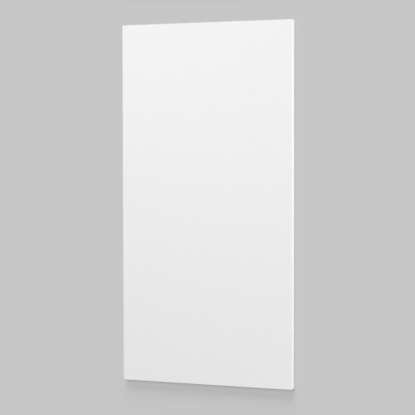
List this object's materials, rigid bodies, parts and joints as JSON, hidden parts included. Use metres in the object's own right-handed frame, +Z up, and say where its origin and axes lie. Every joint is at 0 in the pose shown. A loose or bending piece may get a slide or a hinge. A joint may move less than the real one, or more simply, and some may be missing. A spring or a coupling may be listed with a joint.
{
  "type": "eps foam board",
  "caption": "Flat white rectangular sheet of expanded polystyrene foam with square edges, used as thermal insulation or as stock to cut from.",
  "frame": {"origin": "centre of the underside, on the floor that the sheet lies on", "axes": "+X across the width, +Y along the length, +Z up through the thickness"},
  "size_m": [0.6, 1.2, 0.025],
  "materials": {
    "eps_foam": "matt white closed-cell foam, wire cut, with a fine mosaic of fused beads"
  },
  "bodies": {
    "root": {"foam_board": "eps_foam"}
  },
  "joints": []
}
